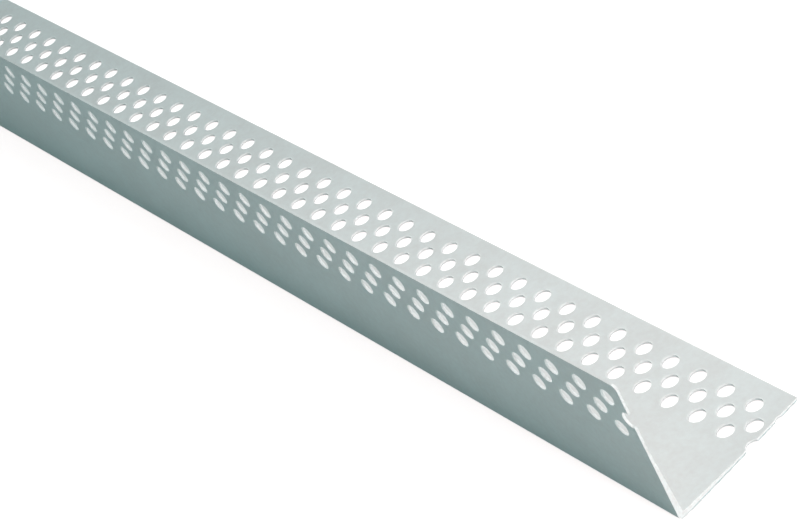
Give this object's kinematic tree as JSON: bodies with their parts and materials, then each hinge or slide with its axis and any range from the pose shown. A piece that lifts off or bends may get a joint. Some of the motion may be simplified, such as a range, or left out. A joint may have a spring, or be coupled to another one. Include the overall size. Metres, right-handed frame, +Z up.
{
  "type": "perforated corner bead",
  "caption": "Right-angled vinyl corner bead for a plastered wall corner, with staggered rows of keying holes along both tapered legs.",
  "frame": {"origin": "centre of the bead's box on the floor it lies on, halfway along its length", "axes": "+X along the bead towards the hand-cut end, +Y from the standing leg towards the lying leg's free edge, +Z up"},
  "size_m": [2.4384, 0.0318, 0.0318],
  "materials": {
    "vinyl": "satin, slightly mottled"
  },
  "bodies": {
    "root": {"corner_bead": "vinyl"}
  },
  "joints": []
}
